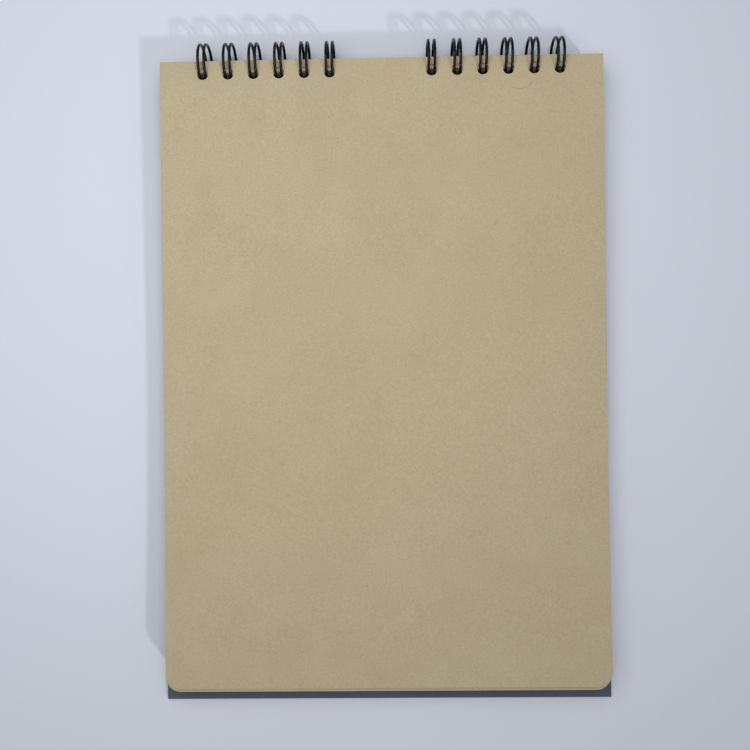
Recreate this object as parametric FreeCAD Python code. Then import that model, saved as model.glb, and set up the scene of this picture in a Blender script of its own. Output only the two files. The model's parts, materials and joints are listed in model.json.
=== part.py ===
# A5 notebook bound along its short top edge by two black twin-loop wire combs.
#
# Five pieces make it up: a kraft card front cover, a block of kraft leaves, a larger
# slate-blue board as back cover, and the two wire combs that the other three turn on.
# Each comb is a single wire: a flat zig-zag of narrow fingers, rolled round a cylinder
# until the fingers' tips come back to the bars that join their roots. That seam lies
# between the last leaf and the back cover, where it stops neither of them from turning.
#
# Everything is drawn about the axis of the loops (X to the right, Y towards the spine,
# Z out of the front cover) and then laid on the table, where the loops and the far edge
# of the back cover touch it. The origin is the middle of the space that it stands on.

import FreeCAD
import Part

import math
import os

from FreeCAD import Vector

# Leaves and covers, in millimetres
LEAF_WIDTH = 147.0
LEAF_LENGTH = 208.0
LEAF_CORNER_R = 5.0
FRONT_COVER_T = 0.4
PAGES_T = 5.4
BACK_COVER_T = 1.2
BACK_COVER_SIDE_OVERHANG = 2.0
BACK_COVER_FOOT_OVERHANG = 7.0
COVER_GAP = 0.02
FOOT_GAP = 0.05

# Round holes punched along the spine edge
HOLE_D = 3.8
HOLE_TO_EDGE = 4.3
HOLE_PITCH = 25.4 / 3.0
LOOPS_PER_COMB = 6
LOOPS_LEFT_OUT = 3
FRONT_COVER_SLIP = 0.4
PAGES_SLIP = 0.0
BACK_COVER_SLIP = 0.1

# Wire
WIRE_D = 0.95
LOOP_R = 6.3
FRONT_FACE_ABOVE_AXIS = 3.9
FINGER_WIDTH = 2.0
ROOT_BEND_R = 0.6
CUT_END = 1.0
TIP_GAP = 0.6
PAGES_TO_SEAM = 0.1
SEAM_TO_BACK_COVER = 0.3

# The wire is drawn as a six-sided bar in short chords, which keeps 24 rings of it light
WIRE_SIDES = 6
LEG_CHORDS = 14
TIP_CHORDS = 4
BEND_CHORDS = 2

# Heights above the loops' axis
SEAM_T = PAGES_TO_SEAM + WIRE_D + SEAM_TO_BACK_COVER
FRONT_COVER_Z = FRONT_FACE_ABOVE_AXIS - FRONT_COVER_T
PAGES_TOP_Z = FRONT_COVER_Z - COVER_GAP
PAGES_Z = PAGES_TOP_Z - PAGES_T
SEAM_Z = PAGES_Z - PAGES_TO_SEAM - WIRE_D / 2
BACK_COVER_TOP_Z = PAGES_Z - SEAM_T
BACK_COVER_Z = BACK_COVER_TOP_Z - BACK_COVER_T
LOOP_OUTER_R = LOOP_R + WIRE_D / 2

ALONG_X = Vector(1, 0, 0)
ORIGIN = Vector(0, 0, 0)


def wire_y(z):
    """Where the loops cross the height z, on the side that runs through the holes."""
    return -math.sqrt(LOOP_R**2 - z**2)


def comb_loop_centres(side):
    """X of each loop of the left (side -1) or right (side 1) comb, from left to right."""
    rows = 2 * LOOPS_PER_COMB + LOOPS_LEFT_OUT
    first = 0 if side < 0 else LOOPS_PER_COMB + LOOPS_LEFT_OUT
    return [(first + i - (rows - 1) / 2) * HOLE_PITCH for i in range(LOOPS_PER_COMB)]


def hole_centres():
    return comb_loop_centres(-1) + comb_loop_centres(1)


def sheet_outline(width, length, hole_y, z, corner_r):
    """Outline of a sheet with a square spine edge and two foot corners, round if corner_r isn't 0."""
    right = width / 2
    spine = hole_y + HOLE_TO_EDGE
    foot = spine - length
    if corner_r == 0:
        corners = [(-right, spine), (right, spine), (right, foot), (-right, foot), (-right, spine)]
        return Part.makePolygon([Vector(x, y, z) for x, y in corners])
    inset = corner_r * (1 - math.sqrt(0.5))
    a, b = Vector(-right, foot + corner_r, z), Vector(-right, spine, z)
    c, d = Vector(right, spine, z), Vector(right, foot + corner_r, z)
    e, f = Vector(right - corner_r, foot, z), Vector(-right + corner_r, foot, z)
    right_mid = Vector(right - inset, foot + inset, z)
    left_mid = Vector(-right + inset, foot + inset, z)
    edges = [
        Part.LineSegment(a, b),
        Part.LineSegment(b, c),
        Part.LineSegment(c, d),
        Part.Arc(d, right_mid, e),
        Part.LineSegment(e, f),
        Part.Arc(f, left_mid, a),
    ]
    return Part.Wire([edge.toShape() for edge in edges])


def hole_outlines(hole_y, z):
    up = Vector(0, 0, 1)
    return [Part.Wire([Part.Circle(Vector(x, hole_y, z), up, HOLE_D / 2).toShape()]) for x in hole_centres()]


def punched_sheet(width, length, thickness, hole_y, z, corner_r):
    """A flat cover or block of leaves of one thickness, its underside at z."""
    face = Part.Face([sheet_outline(width, length, hole_y, z, corner_r)] + hole_outlines(hole_y, z))
    return face.extrude(Vector(0, 0, thickness))


def pages_hole_y():
    """Y of the block's holes, midway in what the loops' arc needs from its top leaf to its last."""
    least = max(wire_y(PAGES_Z), wire_y(PAGES_TOP_Z))
    return (least - LOOP_R) / 2 + PAGES_SLIP


def make_front_cover():
    hole_y = wire_y(FRONT_COVER_Z + FRONT_COVER_T / 2) + FRONT_COVER_SLIP
    return punched_sheet(LEAF_WIDTH, LEAF_LENGTH, FRONT_COVER_T, hole_y, FRONT_COVER_Z, LEAF_CORNER_R)


def make_pages():
    return punched_sheet(LEAF_WIDTH, LEAF_LENGTH, PAGES_T, pages_hole_y(), PAGES_Z, LEAF_CORNER_R)


def back_cover_flat_y():
    """Y of the board's holes and of its foot edge, while it is still parallel to the leaves."""
    hole_y = wire_y(BACK_COVER_Z + BACK_COVER_T / 2) + BACK_COVER_SLIP
    return hole_y, hole_y + HOLE_TO_EDGE - LEAF_LENGTH - BACK_COVER_FOOT_OVERHANG


def back_cover_lean():
    """Where and how far the board turns: the wire's seam holds it off the leaves, and their feet lie on it."""
    seam_y = wire_y(SEAM_Z)
    pages_foot_y = pages_hole_y() + HOLE_TO_EDGE - LEAF_LENGTH
    angle = math.atan2(SEAM_T - FOOT_GAP, seam_y - pages_foot_y)
    return Vector(0, seam_y, BACK_COVER_TOP_Z), FreeCAD.Rotation(ALONG_X, -math.degrees(angle))


def make_back_cover():
    width = LEAF_WIDTH + 2 * BACK_COVER_SIDE_OVERHANG
    hole_y, foot_y = back_cover_flat_y()
    length = hole_y + HOLE_TO_EDGE - foot_y
    board = punched_sheet(width, length, BACK_COVER_T, hole_y, BACK_COVER_Z, 0)
    pivot, lean = back_cover_lean()
    board.Placement = FreeCAD.Placement(ORIGIN, lean, pivot)
    return board


def quarter_bend(x, turn):
    """Flat pattern of the bend between a bar and the leg at x: turn is -1 on a finger's left, 1 on its right."""
    angles = [math.pi / 2 * k / BEND_CHORDS for k in range(BEND_CHORDS + 1)]
    bend = [(x + turn * ROOT_BEND_R * (1 - math.cos(t)), ROOT_BEND_R * (1 - math.sin(t))) for t in angles]
    return bend if turn > 0 else bend[::-1]


def finger(x):
    """Flat pattern of one finger: up its left leg, round the tip and down its right leg, as (x, distance)."""
    half = FINGER_WIDTH / 2
    leg_end = 2 * math.pi * LOOP_R - TIP_GAP - half
    steps = [ROOT_BEND_R + (leg_end - ROOT_BEND_R) * k / LEG_CHORDS for k in range(1, LEG_CHORDS)]
    turns = [math.pi * k / TIP_CHORDS for k in range(TIP_CHORDS + 1)]
    left = quarter_bend(x - half, -1) + [(x - half, s) for s in steps]
    tip = [(x - half * math.cos(t), leg_end + half * math.sin(t)) for t in turns]
    right = [(x + half, s) for s in reversed(steps)] + quarter_bend(x + half, 1)
    return left + tip + right


def rolled(x, distance):
    """A point of the flat pattern, rolled round the loops' axis from the seam."""
    angle = math.pi - math.asin(SEAM_Z / LOOP_R) - distance / LOOP_R
    return Vector(x, LOOP_R * math.cos(angle), LOOP_R * math.sin(angle))


def mitre_normal(before, point, after):
    """Normal of the plane where two chords of the wire meet."""
    return ((point - before).normalize() + (after - point).normalize()).normalize()


def wire_through(points):
    """Straight bars of wire through the points, mitred where they meet, as one closed solid.

    The section's corners stand out as far as gives it the area of the round wire."""
    along = (points[1] - points[0]).normalize()
    outward = Vector(0, points[0].y, points[0].z).normalize()
    side = along.cross(outward)
    step = 2 * math.pi / WIRE_SIDES
    corner_r = WIRE_D / 2 * math.sqrt(step / math.sin(step))
    turns = [step * (k + 0.5) for k in range(WIRE_SIDES)]
    ring = [points[0] + (outward * math.cos(t) + side * math.sin(t)) * corner_r for t in turns]
    rings = [ring]
    for i in range(1, len(points)):
        along = (points[i] - points[i - 1]).normalize()
        last = i == len(points) - 1
        normal = along if last else mitre_normal(points[i - 1], points[i], points[i + 1])
        ring = [p + along * ((points[i] - p).dot(normal) / along.dot(normal)) for p in ring]
        rings.append(ring)
    faces = []
    for near, far in zip(rings, rings[1:]):
        for k in range(WIRE_SIDES):
            n = (k + 1) % WIRE_SIDES
            faces.append(Part.Face(Part.makePolygon([near[k], near[n], far[n], far[k], near[k]])))
    for end in (rings[0], rings[-1]):
        faces.append(Part.Face(Part.makePolygon(end + end[:1])))
    solid = Part.Solid(Part.makeShell(faces))
    if solid.Volume < 0:
        solid.reverse()
    return solid


def make_wire_comb(side):
    """One comb: all its fingers and bars are a single wire, cut off just past the end fingers."""
    centres = comb_loop_centres(side)
    reach = FINGER_WIDTH / 2 + ROOT_BEND_R + CUT_END
    pattern = [(centres[0] - reach, 0.0)]
    for x in centres:
        pattern += finger(x)
    pattern.append((centres[-1] + reach, 0.0))
    return wire_through([rolled(x, s) for x, s in pattern])


def resting_place():
    """Placement that lays the notebook on the table and puts the origin in the middle of its underside.

    It rests on the loops and on the lower foot edge of the back cover."""
    pivot, lean = back_cover_lean()
    foot = pivot + lean.multVec(Vector(0, back_cover_flat_y()[1], BACK_COVER_Z) - pivot)
    tip = math.asin(LOOP_OUTER_R / foot.Length) - math.atan2(-foot.z, -foot.y)
    turn = FreeCAD.Rotation(ALONG_X, math.degrees(tip))
    foot_y = turn.multVec(foot).y
    return FreeCAD.Placement(Vector(0, -(LOOP_OUTER_R + foot_y) / 2, LOOP_OUTER_R), turn)


def main():
    os.makedirs("parts", exist_ok=True)
    pieces = {
        "front_cover": make_front_cover(),
        "page_block": make_pages(),
        "back_cover": make_back_cover(),
        "left_wire_comb": make_wire_comb(-1),
        "right_wire_comb": make_wire_comb(1),
    }
    place = resting_place()
    for name, solid in pieces.items():
        solid.Placement = place.multiply(solid.Placement)
        solid.exportStep(f"parts/{name}.step")
        box = solid.BoundBox
        print(name, solid.ShapeType, solid.isValid(), round(solid.Volume, 2), box)
    print("loop axis", place.multVec(ORIGIN), "tip", math.degrees(place.Rotation.Angle))


main()
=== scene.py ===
import json
import math

import bmesh
import bpy
from mathutils import Matrix, Vector
from mathutils.geometry import delaunay_2d_cdt


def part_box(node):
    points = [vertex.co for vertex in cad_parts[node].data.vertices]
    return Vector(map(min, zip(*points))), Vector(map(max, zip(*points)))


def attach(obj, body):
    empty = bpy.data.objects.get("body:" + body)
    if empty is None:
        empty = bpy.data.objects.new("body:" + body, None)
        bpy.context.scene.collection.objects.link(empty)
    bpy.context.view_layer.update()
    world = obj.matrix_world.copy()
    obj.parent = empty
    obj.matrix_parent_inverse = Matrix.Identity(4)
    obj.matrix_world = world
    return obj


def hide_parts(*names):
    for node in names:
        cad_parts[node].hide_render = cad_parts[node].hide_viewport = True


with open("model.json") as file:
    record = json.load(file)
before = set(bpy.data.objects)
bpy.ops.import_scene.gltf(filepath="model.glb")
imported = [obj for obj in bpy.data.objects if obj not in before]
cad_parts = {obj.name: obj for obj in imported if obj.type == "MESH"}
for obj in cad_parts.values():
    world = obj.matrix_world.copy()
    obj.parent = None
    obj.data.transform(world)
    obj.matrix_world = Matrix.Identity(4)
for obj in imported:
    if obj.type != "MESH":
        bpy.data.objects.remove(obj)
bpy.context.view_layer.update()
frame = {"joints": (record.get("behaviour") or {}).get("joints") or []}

# The front cover is a sheet of uncoated kraft card, the size of the leaves, with square corners at
# the spine and round ones at the foot. Twelve round holes are punched along the spine and hang it
# on the wire, and its foot has started to curl up with use.
LEAF_CORNER_R = 0.005
FRONT_COVER_T = 0.0004
HOLE_R = 0.0019
HOLE_TO_EDGE = 0.0043
HOLE_PITCH = 0.0254 / 3
LOOPS_PER_COMB = 6
LOOPS_LEFT_OUT = 3
HOLE_SIDES = 40
CORNER_STEPS = 10
LAST_ROW_FROM_FOOT = 0.004
COVER_ROWS = 44
CURL_START = 0.080
COVER_CURL = 0.0031


def slab(node, thickness):
    """Width, length and place of a flat piece from its box at rest; its head edge is the higher end.

    The place takes a sheet drawn from its lower head edge to where the real one lies."""
    low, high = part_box(node)
    run, rise = high.y - low.y, high.z - low.z
    length = math.sqrt(run**2 + rise**2 - thickness**2)
    tilt = math.atan2(rise, run) - math.atan2(thickness, length)
    head = Vector((0, high.y, high.z - thickness * math.cos(tilt)))
    return high.x - low.x, length, Matrix.Translation(head) @ Matrix.Rotation(tilt, 4, "X")


LEAF_WIDTH, LEAF_LENGTH, cover_place = slab("front_cover", FRONT_COVER_T)


def comb_loop_centres(side):
    """X of each loop of the left (side -1) or right (side 1) comb."""
    rows = 2 * LOOPS_PER_COMB + LOOPS_LEFT_OUT
    first = 0 if side < 0 else LOOPS_PER_COMB + LOOPS_LEFT_OUT
    return [(first + i - (rows - 1) / 2) * HOLE_PITCH for i in range(LOOPS_PER_COMB)]


def arc(centre, radius, start, end, steps):
    """Points along an arc, angles in degrees, both ends included."""
    turns = [math.radians(start + (end - start) * k / steps) for k in range(steps + 1)]
    return [centre + radius * Vector((math.cos(t), math.sin(t))) for t in turns]


def punched_sheet(name, width, length, thickness, corner_r, hole_sides, rows):
    """A flat sheet whose head edge is on Y = 0, with cross rows of points so that it can bend.

    corner_r is the radius of the two foot corners, or 0 for square ones."""
    half = width / 2
    outline = [Vector((-half, 0)), Vector((half, 0))]
    if corner_r:
        inner = half - corner_r
        right = arc(Vector((inner, -length + corner_r)), corner_r, 0, -90, CORNER_STEPS)
        left = arc(Vector((-inner, -length + corner_r)), corner_r, -90, -180, CORNER_STEPS)
        outline += right + left
    else:
        outline += [Vector((half, -length)), Vector((-half, -length))]
    centres = [Vector((x, -HOLE_TO_EDGE)) for x in comb_loop_centres(-1) + comb_loop_centres(1)]
    holes = [arc(centre, HOLE_R, 0, 360, hole_sides)[:-1] for centre in centres]
    points = list(outline)
    edges = [(k, (k + 1) % len(outline)) for k in range(len(outline))]
    for rim in holes:
        first = len(points)
        points += rim
        edges += [(first + k, first + (k + 1) % len(rim)) for k in range(len(rim))]
    near, far = 2 * HOLE_TO_EDGE, length - max(corner_r, LAST_ROW_FROM_FOOT)
    for k in range(rows + 1):
        y = -(near + (far - near) * k / rows)
        edges.append((len(points), len(points) + 1))
        points += [Vector((-half, y)), Vector((half, y))]
    flat, _, triangles, _, _, _ = delaunay_2d_cdt(points, edges, [], 0, 1e-7)

    def is_paper(triangle):
        middle = sum((flat[k] for k in triangle), Vector((0, 0))) / 3
        x, y = middle
        in_hole = any((middle - centre).length < HOLE_R for centre in centres)
        across = max(abs(x) - (half - corner_r), 0)
        below = max(-y - (length - corner_r), 0)
        past_corner = corner_r and math.hypot(across, below) > corner_r
        return not in_hole and not past_corner

    bm = bmesh.new()
    top = [bm.verts.new((p.x, p.y, thickness)) for p in flat]
    bottom = [bm.verts.new((p.x, p.y, 0)) for p in flat]
    for triangle in filter(is_paper, triangles):
        bm.faces.new([top[k] for k in triangle])
        bm.faces.new([bottom[k] for k in reversed(triangle)])
    twin = dict(zip(top, bottom))
    rim_edges = [(e, e.link_loops[0]) for e in bm.edges if e.is_boundary and e.verts[0] in twin]
    for edge, loop in rim_edges:
        a, b = loop.vert, loop.link_loop_next.vert
        bm.faces.new((b, a, twin[a], twin[b]))
    bmesh.ops.delete(bm, geom=[v for v in bm.verts if not v.link_faces], context="VERTS")
    bm.normal_update()
    mesh = bpy.data.meshes.new(name)
    bm.to_mesh(mesh)
    bm.free()
    return mesh


def curl(distance, height):
    """How far a sheet has lifted at this distance from its head edge, if its foot has lifted by height."""
    past = max(distance - CURL_START, 0) / (LEAF_LENGTH - CURL_START)
    return height * past**2


def linked(name, mesh):
    """A new object in the scene, at the origin."""
    piece = bpy.data.objects.new(name, mesh)
    bpy.context.scene.collection.objects.link(piece)
    return piece


def new_material(name):
    """A new material, its node tree and its surface shader."""
    material = bpy.data.materials.new(name)
    material.use_nodes = True
    tree = material.node_tree
    return material, tree, tree.nodes["Principled BSDF"]


def put(tree, kind, **values):
    """Adds a node; each value is a setting, or a socket's number or link, spaces written as _."""
    node = tree.nodes.new(kind)
    for name, value in values.items():
        socket = node.inputs.get(name.replace("_", " ").strip()) if name[0].isupper() else None
        if socket is None:
            setattr(node, name, value)
        elif isinstance(value, bpy.types.NodeSocket):
            tree.links.new(value, socket)
        else:
            socket.default_value = value
    return node


def ramp(tree, value, stops):
    """Colour ramp from a value: stops are (position, colour)."""
    node = tree.nodes.new("ShaderNodeValToRGB")
    tree.links.new(value, node.inputs["Fac"])
    elements = node.color_ramp.elements
    while len(elements) < len(stops):
        elements.new(0.5)
    for element, (position, colour) in zip(elements, stops):
        element.position = position
        element.color = (*colour, 1)
    return node.outputs["Color"]


def blended(tree, mode, amount, first, second):
    """Mixes two colours; amount, first and second are links or plain values."""
    node = tree.nodes.new("ShaderNodeMix")
    node.data_type = "RGBA"
    node.blend_type = mode
    for socket, value in ((node.inputs[0], amount), (node.inputs[6], first), (node.inputs[7], second)):
        if isinstance(value, bpy.types.NodeSocket):
            tree.links.new(value, socket)
        elif isinstance(value, tuple):
            socket.default_value = (*value, 1)
        else:
            socket.default_value = value
    return node.outputs[2]


def calculated(tree, operation, *values):
    """Result of a Math node; each value is a link or a number."""
    node = put(tree, "ShaderNodeMath", operation=operation)
    for socket, value in zip(node.inputs, values):
        if isinstance(value, bpy.types.NodeSocket):
            tree.links.new(value, socket)
        else:
            socket.default_value = value
    return node.outputs[0]


KRAFT_PALE = (0.475, 0.402, 0.266)
KRAFT_DEEP = (0.45, 0.374, 0.243)
FIBRE_COLOUR = (0.29, 0.215, 0.13)
SPECK_COLOUR = (0.14, 0.1, 0.065)
# Painted shade: the colour and strength that darken the side faces of the card and the leaves.
EDGE_SHADE_COLOUR = (0.2, 0.13, 0.07)
EDGE_SHADE_STRENGTH = 0.85
WHITE = (1, 1, 1)
BLACK = (0, 0, 0)


def kraft(name, speck_share, fibre_amount):
    """Uncoated kraft: cloudy tone, fine grain, stray fibres, a few dark specks, and side faces painted
    darker as painted shade along every cut edge.
    """
    material, tree, surface = new_material(name)
    place = tree.nodes.new("ShaderNodeTexCoord").outputs["Object"]
    clouds = put(tree, "ShaderNodeTexNoise", Vector=place, Scale=55.0, Detail=5.0, Roughness=0.55)
    grain = put(tree, "ShaderNodeTexNoise", Vector=place, Scale=1500.0, Detail=4.0, Roughness=0.7)
    colour = ramp(tree, clouds.outputs["Fac"], [(0.3, KRAFT_DEEP), (0.7, KRAFT_PALE)])
    grain_tone = ramp(tree, grain.outputs["Fac"], [(0.3, (0.86, 0.86, 0.85)), (0.7, (1.1, 1.1, 1.1))])
    colour = blended(tree, "MULTIPLY", 0.8, colour, grain_tone)
    strands = put(tree, "ShaderNodeTexNoise", Vector=place, Scale=420.0, Detail=1.0, Distortion=2.2)
    strand_line = ramp(tree, strands.outputs["Fac"], [(0.488, BLACK), (0.5, WHITE), (0.512, BLACK)])
    breaks = put(tree, "ShaderNodeTexNoise", Vector=place, Scale=700.0, Detail=0.0)
    kept = ramp(tree, breaks.outputs["Fac"], [(0.55, BLACK), (0.62, WHITE)])
    fibre = blended(tree, "MULTIPLY", 1.0, strand_line, kept)
    fibre_shown = calculated(tree, "MULTIPLY", fibre, fibre_amount)
    colour = blended(tree, "MIX", fibre_shown, colour, FIBRE_COLOUR)
    cells = put(tree, "ShaderNodeTexVoronoi", Vector=place, Scale=230.0)
    spot = ramp(tree, cells.outputs["Distance"], [(0.02, WHITE), (0.055, BLACK)])
    chosen = put(tree, "ShaderNodeSeparateColor", Color=cells.outputs["Color"])
    rare = ramp(tree, chosen.outputs["Red"], [(1 - speck_share, BLACK), (1.01 - speck_share, WHITE)])
    speck = blended(tree, "MULTIPLY", 1.0, spot, rare)
    colour = blended(tree, "MIX", speck, colour, SPECK_COLOUR)
    # Painted shade: faces turned sideways (cut edges and hole walls) are darkened by their normal alone.
    upright = tree.nodes.new("ShaderNodeTexCoord").outputs["Normal"]
    upright = put(tree, "ShaderNodeSeparateXYZ", Vector=upright).outputs["Z"]
    on_side_face = calculated(tree, "LESS_THAN", calculated(tree, "ABSOLUTE", upright), 0.5)
    edge_shade_shown = calculated(tree, "MULTIPLY", on_side_face, EDGE_SHADE_STRENGTH)
    colour = blended(tree, "MIX", edge_shade_shown, colour, EDGE_SHADE_COLOUR)
    tree.links.new(colour, surface.inputs["Base Color"])
    surface.inputs["Roughness"].default_value = 0.92
    surface.inputs["Specular IOR Level"].default_value = 0.25
    relief = calculated(tree, "ADD", grain.outputs["Fac"], fibre)
    bump = put(tree, "ShaderNodeBump", Height=relief, Strength=0.35, Distance=0.00004)
    tree.links.new(bump.outputs["Normal"], surface.inputs["Normal"])
    return material


HAIR_CENTRE = (0.0460, 0.0974)
HAIR_R = 0.0046
HAIR_ENDS = (0.0428, 0.0501)
HAIR_THICKNESS = 0.00007
HAIR_STRENGTH = 0.45
HAIR_COLOUR = (0.2, 0.075, 0.035)


def stray_hair(material):
    """Draws one thin reddish fibre on the card: the lower arc of a circle, between two X."""
    tree = material.node_tree
    place = tree.nodes.new("ShaderNodeTexCoord").outputs["Object"]
    where = put(tree, "ShaderNodeSeparateXYZ", Vector=place)
    flat = put(tree, "ShaderNodeCombineXYZ", X=where.outputs["X"], Y=where.outputs["Y"])
    apart = put(tree, "ShaderNodeVectorMath", operation="DISTANCE")
    tree.links.new(flat.outputs[0], apart.inputs[0])
    apart.inputs[1].default_value = (*HAIR_CENTRE, 0)
    on_arc = calculated(tree, "COMPARE", apart.outputs["Value"], HAIR_R, HAIR_THICKNESS)
    after_start = calculated(tree, "GREATER_THAN", where.outputs["X"], HAIR_ENDS[0])
    before_end = calculated(tree, "LESS_THAN", where.outputs["X"], HAIR_ENDS[1])
    below = calculated(tree, "LESS_THAN", where.outputs["Y"], HAIR_CENTRE[1])
    shown = calculated(tree, "MULTIPLY", on_arc, after_start)
    shown = calculated(tree, "MULTIPLY", shown, before_end)
    shown = calculated(tree, "MULTIPLY", shown, below)
    shown = calculated(tree, "MULTIPLY", shown, HAIR_STRENGTH)
    colour_in = tree.nodes["Principled BSDF"].inputs["Base Color"]
    colour = blended(tree, "MIX", shown, colour_in.links[0].from_socket, HAIR_COLOUR)
    tree.links.new(colour, colour_in)


front_mesh = punched_sheet("front_cover_card", LEAF_WIDTH, LEAF_LENGTH, FRONT_COVER_T, LEAF_CORNER_R,
                           HOLE_SIDES, COVER_ROWS)
for vertex in front_mesh.vertices:
    vertex.co.z += curl(-vertex.co.y, COVER_CURL)
front_mesh.transform(cover_place)
front_cover = linked("front_cover_card", front_mesh)
card = kraft("kraft_card", speck_share=0.05, fibre_amount=0.35)
stray_hair(card)
front_mesh.materials.append(card)
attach(front_cover, "front_cover")
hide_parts("front_cover")

# The leaves are fifty sheets of thinner kraft paper, cut and punched in one pile and threaded on
# the wire under the front cover. At the foot they have fanned a little, the top ones with the cover.
LEAF_COUNT = 50
PAGES_T = 0.0054
LEAF_T = 0.00009
TOP_LEAF_CURL = 0.00265
FAN_POWER = 1.6
LEAF_STRAY = 0.0002
STRAY_SEED = 7
LEAF_HOLE_SIDES = 18
LEAF_ROWS = 20

leaf_mesh = punched_sheet("leaf", LEAF_WIDTH, LEAF_LENGTH, LEAF_T, LEAF_CORNER_R, LEAF_HOLE_SIDES, LEAF_ROWS)
pages_place = slab("page_block", PAGES_T)[2]


def geometry_tree(name, inputs):
    """An empty node group with a geometry input and output and the named inputs (name, type)."""
    tree = bpy.data.node_groups.new(name, "GeometryNodeTree")
    tree.interface.new_socket("Geometry", in_out="INPUT", socket_type="NodeSocketGeometry")
    for label, kind in inputs:
        tree.interface.new_socket(label, in_out="INPUT", socket_type=kind)
    tree.interface.new_socket("Geometry", in_out="OUTPUT", socket_type="NodeSocketGeometry")
    return tree, tree.nodes.new("NodeGroupInput"), tree.nodes.new("NodeGroupOutput")


def link(tree, source, node, socket):
    """Joins an output to a node's input, given by its name or number."""
    tree.links.new(source, node.inputs[socket])


def made_by_nodes(piece, tree, values):
    """Runs a node group on a piece and leaves its result as the piece's plain mesh."""
    modifier = piece.modifiers.new(tree.name, "NODES")
    modifier.node_group = tree
    for socket in tree.interface.items_tree:
        if socket.in_out == "INPUT" and socket.name in values:
            modifier[socket.identifier] = values[socket.name]
    graph = bpy.context.evaluated_depsgraph_get()
    mesh = bpy.data.meshes.new_from_object(piece.evaluated_get(graph))
    piece.modifiers.remove(modifier)
    piece.data = mesh
    return mesh


def leaf_pile_tree():
    """Stacks the leaf, lets each stray a little, and lifts the foot of the upper ones in a curl."""
    tree, given, result = geometry_tree("leaf_pile", [
        ("Leaves", "NodeSocketInt"), ("Spacing", "NodeSocketFloat"), ("Stray", "NodeSocketFloat"),
        ("Curl start", "NodeSocketFloat"), ("Curl length", "NodeSocketFloat"),
        ("Curl", "NodeSocketFloat"), ("Fan power", "NodeSocketFloat"), ("Paper", "NodeSocketMaterial")])
    # A column of points, each with its rank from 0 for the last leaf to 1 for the first
    step = put(tree, "ShaderNodeCombineXYZ", Z=given.outputs["Spacing"])
    pile = put(tree, "GeometryNodeMeshLine", Count=given.outputs["Leaves"], Offset=step.outputs[0])
    number = tree.nodes.new("GeometryNodeInputIndex").outputs[0]
    last = calculated(tree, "SUBTRACT", given.outputs["Leaves"], 1.0)
    rank = calculated(tree, "DIVIDE", number, last)
    kept_rank = put(tree, "GeometryNodeStoreNamedAttribute", data_type="FLOAT", domain="POINT")
    link(tree, pile.outputs[0], kept_rank, "Geometry")
    link(tree, rank, kept_rank, "Value")
    kept_rank.inputs["Name"].default_value = "rank"
    # One leaf on each point, a little out of line
    stray = put(tree, "FunctionNodeRandomValue", data_type="FLOAT_VECTOR")
    stray.inputs["Min"].default_value = (-1, -1, 0)
    stray.inputs["Max"].default_value = (1, 1, 0)
    stray.inputs["Seed"].default_value = STRAY_SEED
    reach = put(tree, "ShaderNodeVectorMath", operation="SCALE")
    link(tree, stray.outputs["Value"], reach, 0)
    link(tree, given.outputs["Stray"], reach, "Scale")
    moved = tree.nodes.new("GeometryNodeSetPosition")
    link(tree, kept_rank.outputs[0], moved, "Geometry")
    link(tree, reach.outputs[0], moved, "Offset")
    copies = tree.nodes.new("GeometryNodeInstanceOnPoints")
    link(tree, moved.outputs[0], copies, "Points")
    link(tree, given.outputs["Geometry"], copies, "Instance")
    real = tree.nodes.new("GeometryNodeRealizeInstances")
    link(tree, copies.outputs[0], real, 0)
    # The foot lifts with the square of the way past the curl's start
    where = put(tree, "ShaderNodeSeparateXYZ")
    link(tree, tree.nodes.new("GeometryNodeInputPosition").outputs[0], where, 0)
    from_head = calculated(tree, "MULTIPLY", where.outputs["Y"], -1.0)
    past = calculated(tree, "SUBTRACT", from_head, given.outputs["Curl start"])
    past = calculated(tree, "MAXIMUM", past, 0.0)
    past = calculated(tree, "DIVIDE", past, given.outputs["Curl length"])
    bow = calculated(tree, "MULTIPLY", past, past)
    own_rank = put(tree, "GeometryNodeInputNamedAttribute", data_type="FLOAT")
    own_rank.inputs["Name"].default_value = "rank"
    share = calculated(tree, "POWER", own_rank.outputs[0], given.outputs["Fan power"])
    lift = calculated(tree, "MULTIPLY", bow, share)
    lift = calculated(tree, "MULTIPLY", lift, given.outputs["Curl"])
    upward = put(tree, "ShaderNodeCombineXYZ", Z=lift)
    curled = tree.nodes.new("GeometryNodeSetPosition")
    link(tree, real.outputs[0], curled, "Geometry")
    link(tree, upward.outputs[0], curled, "Offset")
    coloured = tree.nodes.new("GeometryNodeSetMaterial")
    link(tree, curled.outputs[0], coloured, "Geometry")
    link(tree, given.outputs["Paper"], coloured, "Material")
    link(tree, coloured.outputs[0], result, 0)
    return tree


pages = linked("leaves", leaf_mesh)
pages_mesh = made_by_nodes(pages, leaf_pile_tree(), {
    "Leaves": LEAF_COUNT,
    "Spacing": (PAGES_T - LEAF_T) / (LEAF_COUNT - 1),
    "Stray": LEAF_STRAY,
    "Curl start": CURL_START,
    "Curl length": LEAF_LENGTH - CURL_START,
    "Curl": TOP_LEAF_CURL,
    "Fan power": FAN_POWER,
    "Paper": kraft("kraft_paper", speck_share=0.04, fibre_amount=0.3),
})
pages_mesh.transform(pages_place)
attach(pages, "block")
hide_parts("page_block")

# The back cover is a stiff board wrapped in matt slate-blue paper. It is wider than the leaves and
# stands out past their foot, with square corners, and the same holes hang it on the wire.
BACK_COVER_T = 0.0012
BOARD_EDGE_R = 0.00018
BOARD_ROWS = 12
SLATE_PALE = (0.054, 0.069, 0.122)
SLATE_DEEP = (0.043, 0.056, 0.102)
# Paler colour for the sharp edges: rubbed wear together with a painted highlight along them.
EDGE_WEAR_AND_HIGHLIGHT_COLOUR = (0.16, 0.17, 0.2)


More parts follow.
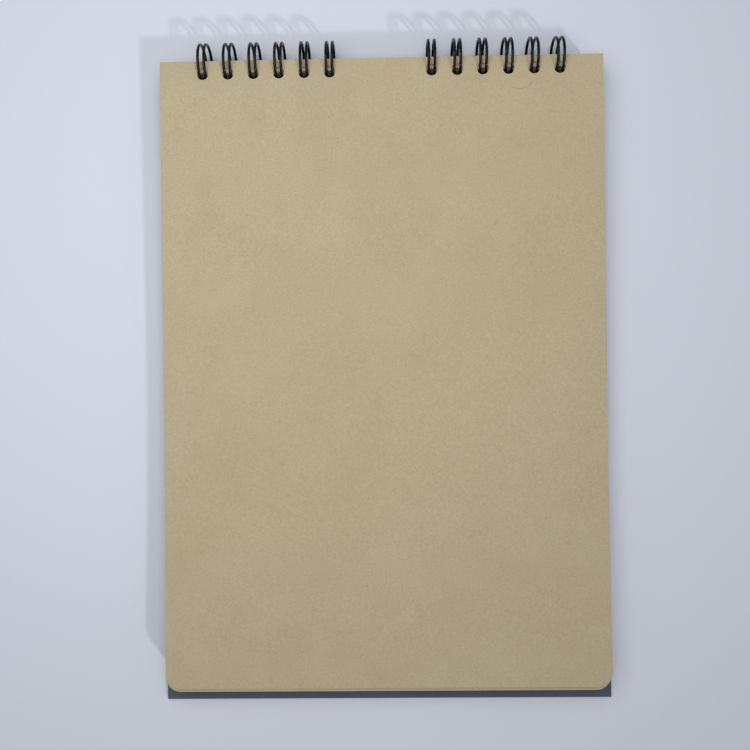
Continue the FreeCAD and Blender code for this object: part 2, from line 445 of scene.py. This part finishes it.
def slate_paper():
    """Matt dyed paper: a faint cloud, a fine felt-like grain and sharp edges painted paler, as rubbed wear
    together with a painted edge highlight.
    """
    material, tree, surface = new_material("slate_board")
    place = tree.nodes.new("ShaderNodeTexCoord").outputs["Object"]
    clouds = put(tree, "ShaderNodeTexNoise", Vector=place, Scale=90.0, Detail=4.0)
    grain = put(tree, "ShaderNodeTexNoise", Vector=place, Scale=2200.0, Detail=3.0, Roughness=0.7)
    colour = ramp(tree, clouds.outputs["Fac"], [(0.35, SLATE_DEEP), (0.65, SLATE_PALE)])
    grain_tone = ramp(tree, grain.outputs["Fac"], [(0.3, (0.82, 0.83, 0.85)), (0.7, (1.2, 1.18, 1.15))])
    colour = blended(tree, "MULTIPLY", 0.7, colour, grain_tone)
    # Sharp edges are painted paler: rubbed wear together with a painted edge highlight.
    edges = tree.nodes.new("ShaderNodeNewGeometry").outputs["Pointiness"]
    edge_wear_and_highlight = ramp(tree, edges, [(0.52, BLACK), (0.6, (0.5, 0.5, 0.5))])
    colour = blended(tree, "MIX", edge_wear_and_highlight, colour, EDGE_WEAR_AND_HIGHLIGHT_COLOUR)
    tree.links.new(colour, surface.inputs["Base Color"])
    surface.inputs["Roughness"].default_value = 0.78
    surface.inputs["Specular IOR Level"].default_value = 0.35
    bump = put(tree, "ShaderNodeBump", Height=grain.outputs["Fac"], Strength=0.3, Distance=0.00004)
    tree.links.new(bump.outputs["Normal"], surface.inputs["Normal"])
    return material


board_width, board_length, board_place = slab("back_cover", BACK_COVER_T)
board_mesh = punched_sheet("back_cover_board", board_width, board_length, BACK_COVER_T, 0,
                           HOLE_SIDES, BOARD_ROWS)
board_mesh.transform(board_place)
board = linked("back_cover_board", board_mesh)
rounding = board.modifiers.new("edges", "BEVEL")
rounding.width = BOARD_EDGE_R
rounding.segments = 2
rounding.limit_method = "ANGLE"
rounding.angle_limit = math.radians(50)
board_graph = bpy.context.evaluated_depsgraph_get()
board.data = bpy.data.meshes.new_from_object(board.evaluated_get(board_graph))
board.modifiers.clear()
board.data.materials.append(slate_paper())
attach(board, "back_cover")
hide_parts("back_cover")

# Each comb is one black nylon-coated steel wire, bent flat into six narrow fingers joined by bars,
# threaded through the holes and rolled shut, so that the tips come back between the roots. The seam
# lies between the last leaf and the back cover.
WIRE_D = 0.00095
LOOP_R = 0.0063
FINGER_WIDTH = 0.002
ROOT_BEND_R = 0.0006
CUT_END = 0.001
TIP_GAP = 0.0006
PAGES_TO_SEAM = 0.0001
BEND_STEPS = 12
WIRE_STEP = 0.00024
WIRE_SIDES = 12
COATING_PALE = (0.003, 0.0035, 0.006)
COATING_DEEP = (0.0015, 0.0018, 0.003)

loop_axis = Vector(frame["joints"][0]["pos_m"])
comb_place = Matrix.Translation(loop_axis) @ pages_place.to_3x3().to_4x4()
pages_underside = (comb_place.inverted() @ pages_place.translation).z
seam_z = pages_underside - PAGES_TO_SEAM - WIRE_D / 2


def wire_comb_tree():
    """Repeats one finger's corners along X, joins them into one path, cuts its two ends short, rounds
    its corners, rolls it up round the loops' axis and gives it its round wire."""
    tree, given, result = geometry_tree("wire_comb", [
        ("Loops", "NodeSocketInt"), ("Pitch", "NodeSocketFloat"), ("End trim", "NodeSocketFloat"),
        ("Tip radius", "NodeSocketFloat"), ("Bend radius", "NodeSocketFloat"),
        ("Loop radius", "NodeSocketFloat"), ("Seam angle", "NodeSocketFloat"),
        ("Wire radius", "NodeSocketFloat"), ("Step", "NodeSocketFloat"), ("Coating", "NodeSocketMaterial")])
    # A row of fingers, joined into one path
    step = put(tree, "ShaderNodeCombineXYZ", X=given.outputs["Pitch"])
    row = put(tree, "GeometryNodeMeshLine", Count=given.outputs["Loops"], Offset=step.outputs[0])
    copies = tree.nodes.new("GeometryNodeInstanceOnPoints")
    link(tree, row.outputs[0], copies, "Points")
    link(tree, given.outputs["Geometry"], copies, "Instance")
    real = tree.nodes.new("GeometryNodeRealizeInstances")
    link(tree, copies.outputs[0], real, 0)
    joined = put(tree, "GeometryNodeMergeByDistance", Distance=1e-6)
    link(tree, real.outputs[0], joined, "Geometry")
    path = tree.nodes.new("GeometryNodeMeshToCurve")
    link(tree, joined.outputs[0], path, 0)
    # The path's two ends are cut short
    ends = tree.nodes.new("GeometryNodeCurveEndpointSelection")
    where = put(tree, "ShaderNodeSeparateXYZ")
    link(tree, tree.nodes.new("GeometryNodeInputPosition").outputs[0], where, 0)
    middle = calculated(tree, "MULTIPLY", calculated(tree, "SUBTRACT", given.outputs["Loops"], 1.0), 0.5)
    middle = calculated(tree, "MULTIPLY", middle, given.outputs["Pitch"])
    from_middle = calculated(tree, "SUBTRACT", where.outputs["X"], middle)
    inward = calculated(tree, "MULTIPLY", calculated(tree, "SIGN", from_middle), -1.0)
    inward = calculated(tree, "MULTIPLY", inward, given.outputs["End trim"])
    trim = put(tree, "ShaderNodeCombineXYZ", X=inward)
    cut = tree.nodes.new("GeometryNodeSetPosition")
    link(tree, path.outputs[0], cut, "Geometry")
    link(tree, ends.outputs[0], cut, "Selection")
    link(tree, trim.outputs[0], cut, "Offset")
    # Wide half-round tips and tight bends at the roots
    at_tip = put(tree, "FunctionNodeCompare", data_type="FLOAT", operation="GREATER_THAN")
    link(tree, where.outputs["Y"], at_tip, 0)
    link(tree, given.outputs["Loop radius"], at_tip, 1)
    radius = put(tree, "GeometryNodeSwitch", input_type="FLOAT")
    link(tree, at_tip.outputs[0], radius, "Switch")
    link(tree, given.outputs["Bend radius"], radius, "False")
    link(tree, given.outputs["Tip radius"], radius, "True")
    rounded = tree.nodes.new("GeometryNodeFilletCurve")
    rounded.mode = "POLY"
    link(tree, cut.outputs[0], rounded, "Curve")
    link(tree, radius.outputs[0], rounded, "Radius")
    rounded.inputs["Count"].default_value = BEND_STEPS
    rounded.inputs["Limit Radius"].default_value = True
    dense = put(tree, "GeometryNodeResampleCurve", mode="LENGTH")
    link(tree, rounded.outputs[0], dense, "Curve")
    link(tree, given.outputs["Step"], dense, "Length")
    # The flat pattern is rolled up from the seam
    turn = calculated(tree, "DIVIDE", where.outputs["Y"], given.outputs["Loop radius"])
    turn = calculated(tree, "SUBTRACT", given.outputs["Seam angle"], turn)
    y = calculated(tree, "MULTIPLY", calculated(tree, "COSINE", turn), given.outputs["Loop radius"])
    z = calculated(tree, "MULTIPLY", calculated(tree, "SINE", turn), given.outputs["Loop radius"])
    rolled = put(tree, "ShaderNodeCombineXYZ", X=where.outputs["X"], Y=y, Z=z)
    curved = tree.nodes.new("GeometryNodeSetPosition")
    link(tree, dense.outputs[0], curved, "Geometry")
    link(tree, rolled.outputs[0], curved, "Position")
    # The round wire
    section = put(tree, "GeometryNodeCurvePrimitiveCircle", Resolution=WIRE_SIDES)
    link(tree, given.outputs["Wire radius"], section, "Radius")
    wire = put(tree, "GeometryNodeCurveToMesh")
    link(tree, curved.outputs[0], wire, "Curve")
    link(tree, section.outputs[0], wire, "Profile Curve")
    wire.inputs["Fill Caps"].default_value = True
    smooth = put(tree, "GeometryNodeSetShadeSmooth")
    link(tree, wire.outputs[0], smooth, "Geometry")
    coloured = tree.nodes.new("GeometryNodeSetMaterial")
    link(tree, smooth.outputs[0], coloured, "Geometry")
    link(tree, given.outputs["Coating"], coloured, "Material")
    link(tree, coloured.outputs[0], result, 0)
    return tree


def nylon_coating():
    """Smooth black nylon with a soft shine, a little uneven where it was dipped."""
    material, tree, surface = new_material("black_wire")
    place = tree.nodes.new("ShaderNodeTexCoord").outputs["Object"]
    uneven = put(tree, "ShaderNodeTexNoise", Vector=place, Scale=900.0, Detail=3.0)
    colour = ramp(tree, uneven.outputs["Fac"], [(0.3, COATING_DEEP), (0.7, COATING_PALE)])
    gloss = ramp(tree, uneven.outputs["Fac"], [(0.3, (0.2, 0.2, 0.2)), (0.7, (0.32, 0.32, 0.32))])
    tree.links.new(colour, surface.inputs["Base Color"])
    tree.links.new(gloss, surface.inputs["Roughness"])
    surface.inputs["Specular IOR Level"].default_value = 0.22
    bump = put(tree, "ShaderNodeBump", Height=uneven.outputs["Fac"], Strength=0.2, Distance=0.00005)
    tree.links.new(bump.outputs["Normal"], surface.inputs["Normal"])
    return material


def finger_corners():
    """Corners of one finger's flat pattern, over one pitch: bar, leg, tip, leg, bar."""
    half_pitch, half = HOLE_PITCH / 2, FINGER_WIDTH / 2
    tip = 2 * math.pi * LOOP_R - TIP_GAP
    corners = [(-half_pitch, 0), (-half, 0), (-half, tip), (half, tip), (half, 0), (half_pitch, 0)]
    mesh = bpy.data.meshes.new("finger")
    mesh.from_pydata([(x, y, 0) for x, y in corners], [(k, k + 1) for k in range(len(corners) - 1)], [])
    return mesh


comb_tree = wire_comb_tree()
coating = nylon_coating()
for name, side in (("left", -1), ("right", 1)):
    comb = linked(f"{name}_comb_wire", finger_corners())
    comb_mesh = made_by_nodes(comb, comb_tree, {
        "Loops": LOOPS_PER_COMB,
        "Pitch": HOLE_PITCH,
        "End trim": HOLE_PITCH / 2 - FINGER_WIDTH / 2 - ROOT_BEND_R - CUT_END,
        "Tip radius": FINGER_WIDTH / 2,
        "Bend radius": ROOT_BEND_R,
        "Loop radius": LOOP_R,
        "Seam angle": math.pi - math.asin(seam_z / LOOP_R),
        "Wire radius": WIRE_D / 2,
        "Step": WIRE_STEP,
        "Coating": coating,
    })
    comb_mesh.transform(comb_place @ Matrix.Translation((comb_loop_centres(side)[0], 0, 0)))
    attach(comb, "block")
    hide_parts(f"{name}_wire_comb")

# The notebook lies on a plain pale table top, cool white and matt.
TABLE_SIZE = 3.0
TABLE_COLOUR = (0.65, 0.685, 0.78)

table_mesh = bpy.data.meshes.new("table_top")
half_table = TABLE_SIZE / 2
table_mesh.from_pydata([(-half_table, -half_table, 0), (half_table, -half_table, 0),
                        (half_table, half_table, 0), (-half_table, half_table, 0)], [], [(0, 1, 2, 3)])
table = linked("table_top", table_mesh)
table_paint, table_tree, table_surface = new_material("table_top")
table_surface.inputs["Base Color"].default_value = (*TABLE_COLOUR, 1)
table_surface.inputs["Roughness"].default_value = 0.7
table_surface.inputs["Specular IOR Level"].default_value = 0.2
table_mesh.materials.append(table_paint)

# Soft daylight: a plain sky, a low sun from the lower right and a soft lamp close above the upper
# left of the notebook, which is brightest there.
SKY_LEVEL = 0.31
SUN_LEVEL = 0.92
SUN_ANGLE = 4
SUN_ELEVATION = 31.5
SUN_FROM = -53
LAMP_POWER = 0.585
LAMP_SIZE = 0.28
LAMP_PLACE = Vector((-0.055, 0.07, 0.275))

world = bpy.data.worlds.new("sky")
bpy.context.scene.world = world
world.use_nodes = True
world.node_tree.nodes["Background"].inputs["Color"].default_value = (1, 1, 1, 1)
world.node_tree.nodes["Background"].inputs["Strength"].default_value = SKY_LEVEL

sun_data = bpy.data.lights.new("low_sun", "SUN")
sun_data.energy = SUN_LEVEL
sun_data.angle = math.radians(SUN_ANGLE)
sun = bpy.data.objects.new("low_sun", sun_data)
bpy.context.scene.collection.objects.link(sun)
elevation, heading = math.radians(SUN_ELEVATION), math.radians(SUN_FROM)
towards_sun = Vector((math.cos(elevation) * math.cos(heading), math.cos(elevation) * math.sin(heading),
                      math.sin(elevation)))
sun.rotation_euler = towards_sun.to_track_quat("Z", "Y").to_euler()

lamp_data = bpy.data.lights.new("soft_lamp", "AREA")
lamp_data.energy = LAMP_POWER
lamp_data.size = LAMP_SIZE
lamp = bpy.data.objects.new("soft_lamp", lamp_data)
bpy.context.scene.collection.objects.link(lamp)
lamp.location = LAMP_PLACE

# The camera looks straight down from just over the notebook, turned a little about its own axis.
CAMERA_FROM_HEAD = Vector((0.0015, -0.1082, 0.2579))
CAMERA_TURN = (0.70, 1.07, -0.71)
SENSOR = 36
LENS = 36

camera_data = bpy.data.cameras.new("camera")
camera_data.sensor_width = SENSOR
camera_data.lens = LENS
camera_data.clip_start = 0.01
camera = bpy.data.objects.new("camera", camera_data)
bpy.context.scene.collection.objects.link(camera)
cover_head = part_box("front_cover")[1]
camera.location = Vector((0, cover_head.y, 0)) + CAMERA_FROM_HEAD
camera.rotation_euler = [math.radians(angle) for angle in CAMERA_TURN]
bpy.context.scene.camera = camera
bpy.context.scene.view_settings.view_transform = "Standard"
